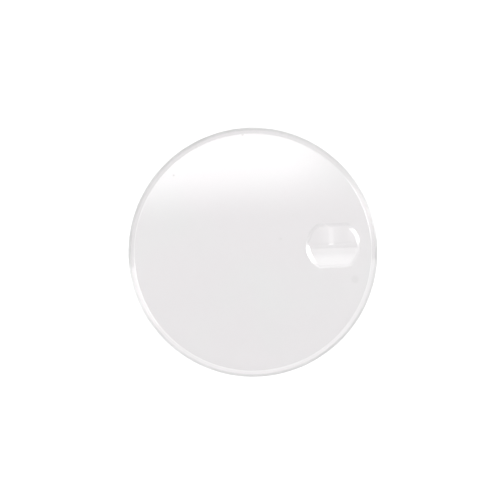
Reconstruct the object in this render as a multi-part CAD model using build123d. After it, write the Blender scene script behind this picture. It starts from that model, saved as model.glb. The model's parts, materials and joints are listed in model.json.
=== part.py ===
from build123d import *
from math import sqrt
import os

# A flat watch crystal with a date magnifier: a round sheet of clear sapphire with bevelled edges,
# and a small domed lens bonded to its upper face with a film of clear cement.
# Millimetres. +Z is out of the watch, +X runs from the crystal's axis to the middle of the lens,
# and the origin is the centre of the underside.

# Crystal disc
disc_diameter = 29.5
disc_thickness = 1.6
top_bevel_width = 0.73       # polished bevel round the upper face, measured in from the edge
top_bevel_fall = 0.61        # and how far it drops, which makes it a 40-degree bevel
seat_bevel_width = 0.7       # ground bevel round the underside, measured in from the edge
seat_bevel_rise = 0.2        # and how far it climbs

# Date lens: a round domed lens with two opposite sides ground straight
lens_width = 6.4             # across the two round ends
lens_height = 5.3            # across the two straight sides
lens_rise = 1.3              # from the cement to the top of the dome
lens_dome_radius = 6.5
lens_bevel_width = 0.42      # bevel all round the dome, measured in from the side
lens_bevel_fall = 0.35       # and how far it drops
lens_reach = 9.5             # from the crystal's axis to the middle of the lens
lens_twist = -1.9            # degrees that the straight sides are turned out of the line to the axis

# Cement between the two
cement_thickness = 0.05
cement_inset = 0.06          # how far the film stops short of the lens's edge


def crystal_disc():
    """The round sheet: its half section turned once round the Z axis."""
    radius = disc_diameter / 2
    section = Polyline(
        (0, 0),
        (radius - seat_bevel_width, 0),
        (radius, seat_bevel_rise),
        (radius, disc_thickness - top_bevel_fall),
        (radius - top_bevel_width, disc_thickness),
        (0, disc_thickness),
        close=True,
    )
    return revolve(make_face(Plane.XZ * section), Axis.Z)


def dome_height(distance):
    """Height of the dome above the cement, at a distance from the lens's own axis."""
    return lens_rise - lens_dome_radius + sqrt(lens_dome_radius**2 - distance**2)


def lens_place(height):
    """Where the lens sits on the disc, at a height above the underside."""
    return Pos(lens_reach, 0, height) * Rot(0, 0, lens_twist)


def lens_cement():
    """The film of cement: the lens's outline, drawn in a little, on the disc's upper face."""
    round_film = Circle(lens_width / 2 - cement_inset)
    between_sides = Rectangle(lens_width, lens_height - 2 * cement_inset)
    return lens_place(disc_thickness) * extrude(round_film & between_sides, cement_thickness)


def turned_blank():
    """The round lens: side, bevel and dome as one half section, turned once round the lens's axis."""
    side = lens_width / 2
    bevel_top = side - lens_bevel_width
    half_dome = bevel_top / 2
    base = Polyline((0, 0), (side, 0), (side, dome_height(bevel_top) - lens_bevel_fall),
                    (bevel_top, dome_height(bevel_top)))
    dome = ThreePointArc((bevel_top, dome_height(bevel_top)), (half_dome, dome_height(half_dome)),
                         (0, lens_rise))
    section = base + dome + Line((0, lens_rise), (0, 0))
    return revolve(make_face(Plane.XZ * section), Axis.Z)


def straight_sides():
    """What the grinding of the two straight sides leaves: a bar along X with a bevelled section."""
    side = lens_height / 2
    bevel_top = side - lens_bevel_width
    bevel_end = dome_height(bevel_top)
    run_on = (lens_rise - bevel_end) * lens_bevel_width / lens_bevel_fall
    section = Polyline(
        (-side, 0),
        (side, 0),
        (side, bevel_end - lens_bevel_fall),
        (bevel_top - run_on, lens_rise),
        (run_on - bevel_top, lens_rise),
        (-side, bevel_end - lens_bevel_fall),
        close=True,
    )
    return extrude(make_face(Plane.YZ * section), lens_width, both=True)


def date_lens():
    """The lens: the turned blank, less what lies outside its straight sides."""
    return lens_place(disc_thickness + cement_thickness) * (turned_blank() & straight_sides())


os.makedirs("parts", exist_ok=True)
for name, solid in (
    ("crystal_disc", crystal_disc()),
    ("lens_cement", lens_cement()),
    ("date_lens", date_lens()),
):
    export_step(solid, f"parts/{name}.step")
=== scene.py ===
"""A watch crystal with a date lens, lying lens upwards on a pale floor in soft studio light.

Metres, in the part's own frame: the crystal's underside is at Z 0, its axis is the Z axis, and the
date lens lies along +X.
"""
import json
import math

import bpy
import numpy as np
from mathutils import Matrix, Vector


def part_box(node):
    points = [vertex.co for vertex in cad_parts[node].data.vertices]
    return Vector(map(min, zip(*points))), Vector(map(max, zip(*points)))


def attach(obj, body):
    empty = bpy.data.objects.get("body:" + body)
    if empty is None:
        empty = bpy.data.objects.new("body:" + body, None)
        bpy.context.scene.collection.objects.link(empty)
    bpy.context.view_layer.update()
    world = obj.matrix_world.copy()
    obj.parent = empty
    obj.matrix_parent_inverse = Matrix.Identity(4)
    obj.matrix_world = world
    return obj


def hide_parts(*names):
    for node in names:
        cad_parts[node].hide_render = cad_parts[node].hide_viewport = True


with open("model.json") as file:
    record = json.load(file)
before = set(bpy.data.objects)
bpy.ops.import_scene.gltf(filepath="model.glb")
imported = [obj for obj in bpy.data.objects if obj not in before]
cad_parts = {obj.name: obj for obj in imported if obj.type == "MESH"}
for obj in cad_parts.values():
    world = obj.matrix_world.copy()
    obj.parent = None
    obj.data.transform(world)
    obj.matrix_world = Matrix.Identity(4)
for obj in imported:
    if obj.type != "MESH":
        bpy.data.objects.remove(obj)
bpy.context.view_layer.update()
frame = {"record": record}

MM = 0.001

# ---------------------------------------------------------------- sizes, from the frame where it has them
cement_low, cement_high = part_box("lens_cement")
lens_low, lens_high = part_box("date_lens")
edge = next(mount for mount in frame["record"]["mounts"] if mount["name"] == "edge")

DISC_RADIUS = edge["dims"]["r_mm"] * MM
DISC_TOP = cement_low.z
EDGE_HIGH = edge["pos_m"][2] + edge["dims"]["length_mm"] * MM / 2
EDGE_LOW = edge["pos_m"][2] - edge["dims"]["length_mm"] * MM / 2
TOP_BEVEL = 0.73 * MM           # width of the polished bevel round the top face
SEAT_BEVEL = 0.7 * MM           # width of the ground bevel round the underside
FACE_MARGIN = 0.2 * MM          # strip of the top face that follows the rim

LENS_MIDDLE = (lens_low.x + lens_high.x) / 2
LENS_BASE = cement_high.z
LENS_RISE = lens_high.z - cement_high.z
LENS_RADIUS = 3.2 * MM          # of the round ends
LENS_HALF_HEIGHT = 2.65 * MM    # from the lens's middle to a straight side
LENS_BEVEL = 0.42 * MM          # width of the ground bevel round the dome
LENS_BEVEL_FALL = 0.35 * MM     # and how far it drops
LENS_DOME = 6.5 * MM            # radius of the dome
LENS_TWIST = math.radians(-1.9)     # turn about the lens's own middle
LENS_CORNER = 0.05 * MM         # blend where the straight sides meet the round ends
CEMENT_INSET = 0.06 * MM        # how far the cement stops short of the lens's outline
CEMENT_HOLLOW = 0.2             # depth of the film's hollow edge, as a share of its thickness

TOP_ARRIS = 0.07 * MM           # rounding, left ground, between the top bevel and the top face
ARRIS = 0.02 * MM               # rounding of the disc's other edges, and the step for the lens's rings
DISC_STEPS = 1024               # points round the disc
LENS_STEPS = 960                # points round the lens
CORNER_POINTS = 7               # points on each rounded corner of the disc's section

POLISHED, BONDED, GROUND, COATED = range(4)     # material slots of a piece


# ---------------------------------------------------------------- meshes
def mesh_object(name, rows, ring_slots):
    """A closed surface from rings of points.

    rows is an array of (rings, points round, 3), from the bottom middle outwards, up and back to the
    top middle. Neighbouring rings are joined by four-sided faces, and the first and last ring, which
    each shrink to one point, are closed by three-sided faces. ring_slots has the material slot of
    each ring of faces.
    """
    rings, around = rows.shape[:2]
    points = rows[1:-1].reshape(-1, 3)
    first, last = rows[0].mean(axis=0), rows[-1].mean(axis=0)
    points = np.vstack([points, first, last])
    inner = rings - 2
    ring = np.arange(inner - 1)[:, None]
    step = np.arange(around)[None, :]
    after = (step + 1) % around
    quads = np.stack([ring * around + step, ring * around + after,
                      (ring + 1) * around + after, (ring + 1) * around + step], axis=-1).reshape(-1, 4)
    step, after = step[0], after[0]
    bottom = np.stack([np.full(around, inner * around), after, step], axis=-1)
    top_ring = (inner - 1) * around
    top = np.stack([np.full(around, inner * around + 1), top_ring + step, top_ring + after], axis=-1)
    mesh = bpy.data.meshes.new(name)
    mesh.from_pydata(points.tolist(), [], quads.tolist() + bottom.tolist() + top.tolist())
    mesh.shade_smooth()
    slots = np.concatenate([np.repeat(ring_slots[1:-1], around),
                            np.full(around, ring_slots[0]), np.full(around, ring_slots[-1])])
    mesh.polygons.foreach_set("material_index", slots.astype(np.int32))
    mesh.validate()
    obj = bpy.data.objects.new(name, mesh)
    bpy.context.scene.collection.objects.link(obj)
    return obj


def round_corners(corners, radii, guard=0.6):
    """A polyline in (distance, height) with each inner corner rounded.

    Each corner becomes an arc that is tangent to both of its straight runs. Another point lies guard
    radii along each run, so that smooth shading leaves the runs themselves flat.
    """
    corners = np.asarray(corners, float)
    path = [corners[0]]
    for before, here, after, radius in zip(corners[:-2], corners[1:-1], corners[2:], radii):
        back = (before - here) / np.linalg.norm(before - here)
        ahead = (after - here) / np.linalg.norm(after - here)
        half = math.acos(np.clip(back @ ahead, -1, 1)) / 2
        reach = radius / math.tan(half)
        middle = here + (back + ahead) / np.linalg.norm(back + ahead) * radius / math.sin(half)
        start, end = here + back * reach, here + ahead * reach
        path.append(start + back * radius * guard)
        share = np.linspace(0, 1, CORNER_POINTS - 2)[:, None]
        swing = math.pi - 2 * half
        weights = np.hstack([np.sin((1 - share) * swing), np.sin(share * swing)]) / math.sin(swing)
        path.extend(middle + weights[:, :1] * (start - middle) + weights[:, 1:] * (end - middle))
        path.append(end + ahead * radius * guard)
    path.append(corners[-1])
    return np.array(path)


def soft_lowest(values, blend):
    """The lowest of several heights, blended over a short span so that where two meet is rounded."""
    values = np.stack(values)
    low = values.min(axis=0)
    return low - blend * np.log(np.exp(-(values - low) / blend).sum(axis=0))


def straight_side(angles, half_height):
    """Distance from the lens's middle to a straight side: half_height / |sin(angle)|, kept finite."""
    least_sine = 0.05
    return half_height / np.maximum(np.abs(np.sin(angles)), least_sine)


def lens_outline(angles, inset=0.0):
    """Distance from the lens's middle to its outline, for directions measured from its long axis.

    It is the nearer of a circle and the two straight sides, with the corners rounded.
    """
    round_end = np.full_like(angles, LENS_RADIUS - inset)
    straight = straight_side(angles, LENS_HALF_HEIGHT - inset)
    return soft_lowest([round_end, straight], LENS_CORNER)


def lens_point(angles, distance, height):
    """Points of the lens in the part's frame, turned by the lens's twist about its middle."""
    turned = angles + LENS_TWIST
    return np.stack(np.broadcast_arrays(LENS_MIDDLE + distance * np.cos(turned),
                                        distance * np.sin(turned), height), axis=-1)


def dome_height(distance):
    """Height of the dome above the lens's base: rise - radius + sqrt(radius^2 - distance^2)."""
    return LENS_RISE - LENS_DOME + np.sqrt(LENS_DOME**2 - distance**2)


def lens_top(angles, distance):
    """Height of the lens above its base.

    It is the lowest of the dome, the cone of the bevel round the ends and the two sloping planes of the
    bevel along the straight sides, with a slight rounding where they meet.
    """
    slope = LENS_BEVEL_FALL / LENS_BEVEL
    end_bevel, side_bevel = LENS_RADIUS - LENS_BEVEL, LENS_HALF_HEIGHT - LENS_BEVEL
    across = np.abs(distance * np.sin(angles))
    cone = dome_height(end_bevel) + slope * (end_bevel - distance)
    planes = dome_height(side_bevel) + slope * (side_bevel - across)
    return soft_lowest([dome_height(distance), cone, planes], ARRIS / 3)


def make_disc():
    """The round sheet: its half section carried round the Z axis.

    The top face runs from the rim in to the outline of the cement, along straight lines from each
    rim point towards the middle of the lens, and on to that middle. The part under the cement is a
    bonded face.
    """
    angles = np.arange(DISC_STEPS) * 2 * math.pi / DISC_STEPS
    corners = [(0, 0), (DISC_RADIUS - SEAT_BEVEL, 0), (DISC_RADIUS, EDGE_LOW),
               (DISC_RADIUS, EDGE_HIGH), (DISC_RADIUS - TOP_BEVEL, DISC_TOP),
               (DISC_RADIUS - TOP_BEVEL - FACE_MARGIN, DISC_TOP)]
    section = round_corners(corners, (ARRIS, ARRIS, ARRIS, TOP_ARRIS))
    distance, height = section[:, 0, None], section[:, 1, None]
    rim = np.stack(np.broadcast_arrays(distance * np.cos(angles), distance * np.sin(angles),
                                       height), axis=-1)
    start = rim[-1]
    bearing = np.arctan2(start[:, 1], start[:, 0] - LENS_MIDDLE)
    film = lens_outline(bearing - LENS_TWIST, CEMENT_INSET)
    goal = np.stack([LENS_MIDDLE + film * np.cos(bearing), film * np.sin(bearing),
                     np.full(DISC_STEPS, DISC_TOP)], axis=-1)
    shares = np.linspace(0, 1, 6)[1:, None, None]
    inwards = start + shares * (goal - start)
    middle = np.array([LENS_MIDDLE, 0, DISC_TOP])
    bonded = goal + np.array([0.5, 1.0])[:, None, None] * (middle - goal)
    rows = np.concatenate([rim, inwards, bonded])
    # the seat bevel and the upright wall are ground, from the middle of one rounded corner to another's
    underside_end, wall_end = (1 + CORNER_POINTS * corner + CORNER_POINTS // 2 for corner in (0, 2))
    slots = np.full(len(rows) - 1, POLISHED)
    slots[:underside_end] = COATED
    slots[underside_end:wall_end] = GROUND
    # and so is the arc of the fourth corner, without the points beside it
    arris_start = 1 + CORNER_POINTS * 3 + 1
    slots[arris_start:arris_start + CORNER_POINTS - 3] = GROUND
    slots[-2:] = BONDED
    return mesh_object("crystal_disc_glass", rows, slots)


def make_cement():
    """The film of cement: the lens's outline drawn in a little, with an edge hollowed as a parabola."""
    angles = np.arange(LENS_STEPS) * 2 * math.pi / LENS_STEPS
    thickness = LENS_BASE - DISC_TOP
    share = np.linspace(0, 1, 5)
    hollow = CEMENT_HOLLOW * thickness * 4 * share * (1 - share)
    outline = lens_outline(angles, CEMENT_INSET)
    side = [lens_point(angles, outline - pull, DISC_TOP + part * thickness)
            for part, pull in zip(share, hollow)]
    rows = np.stack([lens_point(angles, 0 * angles, DISC_TOP), lens_point(angles, outline / 2, DISC_TOP),
                     *side, lens_point(angles, outline / 2, LENS_BASE),
                     lens_point(angles, 0 * angles, LENS_BASE)])
    slots = [BONDED] * 2 + [POLISHED] * 4 + [BONDED] * 2
    return mesh_object("lens_cement_film", rows, slots)


def make_lens():
    """The date lens: flat base, upright side, bevels and dome, as rings about its own middle.

    A ring is drawn in, raised or lowered by a few arrises, or lies a share of the way across the bevel
    or the dome. The numbers in the lists below are those arrises and shares.
    """
    angles = np.arange(LENS_STEPS) * 2 * math.pi / LENS_STEPS
    outline = lens_outline(angles)
    film = lens_outline(angles, CEMENT_INSET)
    side_top = lens_top(angles, outline)
    base = [lens_point(angles, reach, LENS_BASE) for reach in (0 * angles, film / 2, film)]
    low_edge = [lens_point(angles, outline - pull * ARRIS, LENS_BASE + lift * ARRIS)
                for pull, lift in ((2.0, 0), (1, 0), (0.29, 0.29), (0, 1), (0, 2.0))]
    upper_edge = [lens_point(angles, outline, LENS_BASE + side_top - 3 * ARRIS),
                  lens_point(angles, outline, LENS_BASE + side_top - ARRIS)]
    # from the upright side in to the middle, close together where the bevel meets the dome
    bevel_in = np.minimum(LENS_RADIUS - LENS_BEVEL,
                          straight_side(angles, LENS_HALF_HEIGHT - LENS_BEVEL))
    near_side = [outline - pull * ARRIS for pull in (0.3, 0.8, 1.6)]
    on_bevel = [outline + share * (bevel_in - outline) for share in (0.25, 0.5, 0.75)]
    offsets = (2.2, 1.4, 0.8, 0.4, 0, -0.4, -0.8, -1.4, -2.2)
    arris = [bevel_in + offset * ARRIS for offset in offsets]
    dome = [(bevel_in + offsets[-1] * ARRIS) * share for share in 1 - np.linspace(0, 1, 26)[1:-1]]
    top = [lens_point(angles, reach, LENS_BASE + lens_top(angles, reach))
           for reach in near_side + on_bevel + arris + dome + [0 * angles]]
    rows = np.stack(base + low_edge + upper_edge + top)
    slots = np.full(len(rows) - 1, POLISHED)
    slots[:2] = BONDED
    ground_start = len(base) + len(low_edge) // 2
    ground_end = len(base + low_edge + upper_edge + near_side + on_bevel) + len(arris) // 2
    slots[ground_start:ground_end] = GROUND
    return mesh_object("date_lens_glass", rows, slots)


# ---------------------------------------------------------------- materials
class Socket:
    """A shader socket with arithmetic: an expression on sockets adds its Math nodes."""

    def __init__(self, shader, output):
        self.shader, self.output = shader, output

    def also(self, name):
        """Another output of the same node."""
        return Socket(self.shader, self.output.node.outputs[name])

    def maths(self, operation, *values):
        return self.shader.node("ShaderNodeMath", {"operation": operation}, dict(enumerate(values)))

    def __add__(self, other):
        return self.maths("ADD", self, other)

    def __sub__(self, other):
        return self.maths("SUBTRACT", self, other)

    def __rsub__(self, other):
        return self.maths("SUBTRACT", other, self)

    def __mul__(self, other):
        return self.maths("MULTIPLY", self, other)

    __radd__, __rmul__ = __add__, __mul__


class Shader:
    """A node tree that is being written."""

    def __init__(self, tree):
        self.tree = tree
        tree.nodes.clear()

    def node(self, kind, settings=None, values=None, output=0):
        """Any node: its settings are set first, then the values or links of its sockets."""
        made = self.tree.nodes.new(kind)
        for key, setting in (settings or {}).items():
            setattr(made, key, setting)
        for key, value in (values or {}).items():
            if isinstance(value, Socket):
                self.tree.links.new(value.output, made.inputs[key])
            else:
                made.inputs[key].default_value = value
        return Socket(self, made.outputs[output]) if made.outputs else None


def new_material(name):
    """An empty material and the shader that writes its nodes."""
    material = bpy.data.materials.new(name)
    material.use_nodes = True
    return material, Shader(material.node_tree)


def rise(shader, value, low, high):
    """0 below low, 1 above high and a smooth rise between them."""
    return shader.node("ShaderNodeMapRange", {"interpolation_type": "SMOOTHSTEP"},
                       {0: value, 1: low, 2: high, 3: 0.0, 4: 1.0})


def fall(shader, value, low, high):
    """1 below low, 0 above high and a smooth fall between them."""
    return 1 - rise(shader, value, low, high)


def blend(shader, share, first, second):
    """A colour between two colours."""
    return shader.node("ShaderNodeMix", {"data_type": "RGBA"}, {0: share, 6: first, 7: second}, output=2)


def cloudy(shader, place, size, detail=2.0, clear=0.34):
    """Soft patches from 0 to 1, about size across, which are rarer where clear is high."""
    softness = 0.32
    noise = shader.node("ShaderNodeTexNoise",
                        values={"Vector": place, "Scale": 1 / size, "Detail": detail})
    return rise(shader, noise, clear, clear + softness)


def dust(shader, place, spacing, share, radius):
    """1 on tiny specks: a share of the cells of a scattered pattern has one, and some are fainter."""
    cell = shader.node("ShaderNodeTexVoronoi", {"voronoi_dimensions": "2D"},
                       {"Vector": place, "Scale": 1 / spacing}, output="Distance")
    chance = shader.node("ShaderNodeSeparateColor", values={0: cell.also("Color")}, output=0)
    near = fall(shader, cell, 0.4 * radius / spacing, radius / spacing)
    return near * rise(shader, chance, 1 - share, 1.001 - 0.9 * share)


SAPPHIRE_INDEX = 1.77
CEMENT_INDEX = 1.5
CLEAR = (0.969, 0.958, 0.963, 1)
CLEAR_PATCH = (0.963, 0.959, 0.961, 1)
PATCH_SIZE = 11 * MM
POLISH_ROUGHNESS = 0.004

WIPING_TURN = math.radians(28)      # direction of the wiping streaks
STREAK_LENGTH = 7 * MM
STREAK_THINNESS = 24                # how many times longer than wide
STREAK_ROUGHNESS = 0.02

DUST_COLOUR = (0.42, 0.4, 0.38, 1)
DUST_SPACING = 1.7 * MM
DUST_RADIUS = 0.13 * MM
DUST_COVER = 0.6                    # how much of a speck's own colour shows
DUST_ROUGHNESS = 0.3
DROP_MIDDLE = (11.8 * MM, -4.2 * MM, 0)
DROP_RADII = (0.3 * MM, 0.6 * MM)   # of its full middle and of its outline
DROP_COVER = 0.12
GRAIN_SIZE = 0.09 * MM              # of the marks that grinding leaves
TONE_SIZE = 2.5 * MM                # of the patches in a ground face


def finish_polished(name, index, clear, patched, coat=1.0, dusty=0.0, drop=None):
    """Polished glass: faint patches in its colour, wiping streaks in its gloss, and a few dust specks.

    coat is how much of the plain reflection an anti-reflection coating leaves, dusty the share of the
    dust pattern that has a speck, and drop the middle of a dried drop.
    """
    material, shader = new_material(name)
    place = shader.node("ShaderNodeTexCoord", output="Object")
    colour = blend(shader, cloudy(shader, place, PATCH_SIZE, clear=0.44), clear, patched)
    specks = dust(shader, place, DUST_SPACING, dusty, DUST_RADIUS)
    colour = blend(shader, specks * DUST_COVER, colour, DUST_COLOUR)
    if drop:
        away = shader.node("ShaderNodeVectorMath", {"operation": "DISTANCE"},
                           {0: place, 1: drop}, output=1)
        colour = blend(shader, fall(shader, away, *DROP_RADII) * DROP_COVER, colour, DUST_COLOUR)
    wiped = shader.node("ShaderNodeMapping", values={
        "Vector": place, "Rotation": (0, 0, WIPING_TURN), "Scale": (1, STREAK_THINNESS, 1)})
    streaks = cloudy(shader, wiped, STREAK_LENGTH, detail=5.0)
    surface = shader.node("ShaderNodeBsdfPrincipled", values={
        "Base Color": colour,
        "Roughness": POLISH_ROUGHNESS + STREAK_ROUGHNESS * streaks + DUST_ROUGHNESS * specks,
        "IOR": index, "Transmission Weight": 1.0, "Specular Tint": (coat, coat, coat, 1)})
    shader.node("ShaderNodeOutputMaterial", values={"Surface": surface})
    return material


def finish_ground(name, clear, patched, roughness, grain):
    """Finely ground glass: an even frost, whose roughness and tone vary with the grain of the wheel."""
    material, shader = new_material(name)
    place = shader.node("ShaderNodeTexCoord", output="Object")
    fine = cloudy(shader, place, GRAIN_SIZE, detail=3.0)
    broad = cloudy(shader, place, TONE_SIZE)
    surface = shader.node("ShaderNodeBsdfPrincipled", values={
        "Base Color": blend(shader, 0.5 * fine + 0.5 * broad, clear, patched),
        "Roughness": roughness + grain * (fine + broad - 1), "IOR": SAPPHIRE_INDEX,
        "Transmission Weight": 1.0})
    shader.node("ShaderNodeOutputMaterial", values={"Surface": surface})
    return material


def finish_bonded(name):
    """A face inside the bond: light crosses it unbent, so the glass runs on from piece to piece."""
    material, shader = new_material(name)
    through = shader.node("ShaderNodeBsdfTransparent")
    shader.node("ShaderNodeOutputMaterial", values={"Surface": through})
    return material


bonded_face = finish_bonded("bonded_face")
disc_polish = finish_polished("disc_sapphire_polish", SAPPHIRE_INDEX, CLEAR, CLEAR_PATCH, dusty=0.05)
# the underside's low reflection is an anti-reflection coating; its grey tint is painted shade, darkening
# the floor seen through the crystal as the shade under the crystal would
coated_underside_painted_shade = finish_polished(
    "disc_coated_underside_painted_shade", SAPPHIRE_INDEX, (0.759, 0.735, 0.746, 1), (0.753, 0.749, 0.750, 1),
    coat=0.1, dusty=0.02, drop=DROP_MIDDLE)
disc_ground = finish_ground(
    "disc_edge_ground", (0.975, 0.968, 0.97, 1), (0.95, 0.942, 0.946, 1), roughness=0.5, grain=0.06)
lens_polish = finish_polished("lens_sapphire_polish", SAPPHIRE_INDEX, CLEAR, CLEAR_PATCH)
# the lens bevel's frost is real; its darker grey tint is painted shade round the lens's rim
lens_ground_painted_shade = finish_ground(
    "lens_bevel_ground_painted_shade", (0.905, 0.892, 0.898, 1), (0.87, 0.862, 0.866, 1), roughness=0.25, grain=0.04)
cement = finish_polished(
    "clear_cement_edge", CEMENT_INDEX, (0.99, 0.985, 0.97, 1), (0.97, 0.965, 0.95, 1))

# each piece: its mesh, the node it stands for, its slot, and its polished, bonded, ground and coated
# faces, as far as it has them; the disc's coated underside and the lens's ground bevel also carry painted
# shade
for piece, node, slot, faces in (
    (make_disc(), "crystal_disc", "disc_sapphire",
     (disc_polish, bonded_face, disc_ground, coated_underside_painted_shade)),
    (make_cement(), "lens_cement", "clear_cement", (cement, bonded_face)),
    (make_lens(), "date_lens", "lens_sapphire", (lens_polish, bonded_face, lens_ground_painted_shade)),
):
    for material in faces:
        piece.data.materials.append(material)
    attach(piece, "root")
    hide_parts(node)

# ---------------------------------------------------------------- floor
FLOOR_HALF = 1.5            # half its width
FLOOR_DROP = 0.02 * MM      # the film of air under the crystal
FLOOR_GLOW = 0.88
FLOOR_GREY = 0.25


def make_floor():
    """A sheet of white paper: one square a little below the crystal, with an even glow of its own."""
    h, z = FLOOR_HALF, -FLOOR_DROP
    mesh = bpy.data.meshes.new("floor")
    mesh.from_pydata([(-h, -h, z), (h, -h, z), (h, h, z), (-h, h, z)], [], [(0, 1, 2, 3)])
    material, shader = new_material("floor_paper")
    paper = shader.node("ShaderNodeBsdfPrincipled", values={
        "Base Color": (FLOOR_GREY, FLOOR_GREY, FLOOR_GREY, 1), "Roughness": 1.0,
        "Specular IOR Level": 0.0, "Emission Color": (1, 1, 1, 1), "Emission Strength": FLOOR_GLOW})
    shader.node("ShaderNodeOutputMaterial", values={"Surface": paper})
    mesh.materials.append(material)
    floor = bpy.data.objects.new("floor", mesh)
    bpy.context.scene.collection.objects.link(floor)
    return floor


floor = make_floor()

# ---------------------------------------------------------------- light
LEAN = math.radians(4.76)       # how far +X is turned up from level in the camera's view

# Azimuths are degrees anticlockwise from the camera's right. In each pair of bounds the first is where
# a part of the tent begins to appear or to fade, and the second is where it is full or gone. Bounds on
# a height are the sine of the elevation, and the others are the cosine of the angle to an axis.
UP_AXIS, DOWN_AXIS, RIGHT_AXIS = 94, 272, 2
MIDDLE_SHIFT = 0.03             # how far left the tent's middle line stands, as a cosine

UPPER_WALL = 0.2                # glow of the upper wall
UPPER_MIDDLE = 0.4              # and what its middle adds
UPPER_START = (0.085, 0.14)     # beside the slot
UPPER_SILL = (0.2, 0.6)         # height
UPPER_LEFT_END = (-0.6, -0.38)
UPPER_MIDDLE_SIDES = (0.1, 0.45)

LOWER_WALL = 1.1                # glow of the lower wall
LOWER_BRIGHT = 1.2              # and what its bright patch adds
LOWER_START = (0.072, 0.11)     # beside the slot
LOWER_PLAIN, LOWER_BAND = 0.9, 1.6      # share of the glow outside the band, and what the band adds
BAND_FOOT, BAND_HEAD = (0.12, 0.25), (0.4, 0.55)        # heights
PATCH_START, PATCH_SILL = (0.2, 0.5), (0.4, 0.7)        # beside the slot, and height

OVERHEAD = (0.6, 0.9)           # height
STRIP, STRIP_REST = 3.0, 0.7    # glow of the strip near the slot, and farther up
STRIP_START = (0.016, 0.062)
STRIP_CHANGE = (0.075, 0.1)
STRIP_SIDES = (0.045, 0.12)
SLOT_HAZE = 0.3                 # glow inside the slot
HAZE_START, HAZE_END = (-0.08, 0.03), (0.03, 0.08)

# each lamp: azimuth, elevation, reach and core
RIGHT_LAMP = (22, 20, 23, 10)
LEFT_LAMP = (200, 20, 25, 11)
LAMP, LEFT_SHARE = 20.0, 0.65
LAMP_FOOT, LAMP_HEAD = (0.08, 0.24), (0.32, 0.5)        # heights
GLOW_LAMP = (26, 36, 24, 4)     # the faint halo over the right lamp
LAMP_GLOW = 0.35

BASE, BASE_END = 0.12, (0.45, 0.85)         # glow of all the walls, and the height where it fades
HORIZON, HORIZON_END = 0.7, (0.03, 0.09)    # glow of the skirting at the floor
BACKDROP = 1.0                  # what the camera sees behind everything


def towards(shader, direction, azimuth, elevation=0):
    """The cosine between a direction and an axis, which is given by its azimuth and elevation."""
    turn, lift = math.radians(azimuth) - LEAN, math.radians(elevation)
    axis = (math.cos(lift) * math.cos(turn), math.cos(lift) * math.sin(turn), math.sin(lift))
    return shader.node("ShaderNodeVectorMath", {"operation": "DOT_PRODUCT"},
                       {0: direction, 1: axis}, output=1)


def lamp(shader, direction, azimuth, elevation, reach, core):
    """A soft round lamp: full inside its core angle, and nothing beyond its reach, both in degrees."""
    return rise(shader, towards(shader, direction, azimuth, elevation),
                math.cos(math.radians(reach)), math.cos(math.radians(core)))


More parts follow.
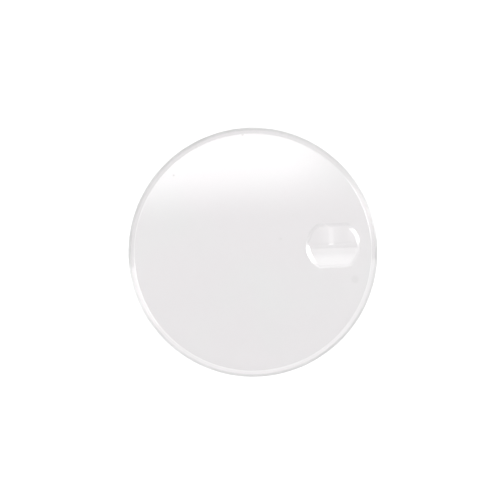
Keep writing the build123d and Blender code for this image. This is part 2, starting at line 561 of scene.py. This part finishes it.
def light_tent():
    """A white tent with a dark slot in its roof, where the camera looks down, and a lamp at each side.

    Up, down, left and right are the camera's. The upper wall is dim and the lower wall brighter, with a
    band and a patch that are brighter still. A strip light runs up from the slot, whose upper side is
    a little hazy. The walls glow faintly all round, with a lighter skirting at the floor. The camera
    itself sees a plain backdrop.
    """
    world = bpy.data.worlds.new("light_tent")
    bpy.context.scene.world = world
    world.use_nodes = True
    shader = Shader(world.node_tree)
    direction = shader.node("ShaderNodeTexCoord", output="Generated")
    height = shader.node("ShaderNodeSeparateXYZ", values={0: direction}, output=2)
    up = towards(shader, direction, UP_AXIS)
    down = towards(shader, direction, DOWN_AXIS)
    right = towards(shader, direction, RIGHT_AXIS)
    aside = right.maths("ABSOLUTE", right + MIDDLE_SHIFT)
    overhead = rise(shader, height, *OVERHEAD)

    upper_glow = UPPER_WALL + UPPER_MIDDLE * fall(shader, aside, *UPPER_MIDDLE_SIDES)
    upper_wall = (rise(shader, up, *UPPER_START) * rise(shader, height, *UPPER_SILL)
                  * rise(shader, right, *UPPER_LEFT_END) * upper_glow)

    band = rise(shader, height, *BAND_FOOT) * fall(shader, height, *BAND_HEAD)
    patch = rise(shader, down, *PATCH_START) * rise(shader, height, *PATCH_SILL)
    lower_wall = (rise(shader, down, *LOWER_START) * (LOWER_PLAIN + LOWER_BAND * band)
                  * (LOWER_WALL + LOWER_BRIGHT * patch))

    strip_glow = STRIP_REST + (STRIP - STRIP_REST) * fall(shader, up, *STRIP_CHANGE)
    strip = rise(shader, up, *STRIP_START) * fall(shader, aside, *STRIP_SIDES) * overhead * strip_glow
    haze = rise(shader, up, *HAZE_START) * fall(shader, up, *HAZE_END) * overhead * SLOT_HAZE

    both_lamps = lamp(shader, direction, *RIGHT_LAMP) + lamp(shader, direction, *LEFT_LAMP) * LEFT_SHARE
    lamps = both_lamps * LAMP * rise(shader, height, *LAMP_FOOT) * fall(shader, height, *LAMP_HEAD)
    glow = lamp(shader, direction, *GLOW_LAMP) * LAMP_GLOW

    walls = fall(shader, height, *HORIZON_END) * HORIZON + fall(shader, height, *BASE_END) * BASE
    light = walls + haze + upper_wall + lower_wall + strip + lamps + glow
    seen = shader.node("ShaderNodeLightPath")
    tone = light * (1 - seen) + seen * BACKDROP
    back = shader.node("ShaderNodeBackground", values={"Color": (1, 1, 1, 1), "Strength": tone})
    shader.node("ShaderNodeOutputWorld", values={"Surface": back})


light_tent()

# ---------------------------------------------------------------- camera
CAMERA_HEIGHT = 0.2
FRAME_WIDTH = 59.2 * MM         # what the view spans at the height of the disc's widest edge
SENSOR = 36.0
VIEW_RIGHT = -0.345 * MM        # how far right and up of the disc's middle the view is centred
VIEW_UP = 0.275 * MM
LIGHT_BOUNCES = 32              # enough for light to cross every face of the glass many times

camera_data = bpy.data.cameras.new("camera")
camera_data.sensor_width = SENSOR
camera_data.lens = SENSOR * (CAMERA_HEIGHT - EDGE_HIGH) / FRAME_WIDTH
camera_data.clip_start = 0.005
camera_data.clip_end = 20
camera = bpy.data.objects.new("camera", camera_data)
bpy.context.scene.collection.objects.link(camera)
right = np.array([math.cos(LEAN), -math.sin(LEAN)])
up = np.array([math.sin(LEAN), math.cos(LEAN)])
spot = VIEW_RIGHT * right + VIEW_UP * up
camera.location = (spot[0], spot[1], CAMERA_HEIGHT)
camera.rotation_euler = (0, 0, -LEAN)
bpy.context.scene.camera = camera

scene = bpy.context.scene
scene.view_settings.view_transform = "Standard"
scene.cycles.max_bounces = LIGHT_BOUNCES
scene.cycles.transmission_bounces = LIGHT_BOUNCES
scene.cycles.transparent_max_bounces = LIGHT_BOUNCES
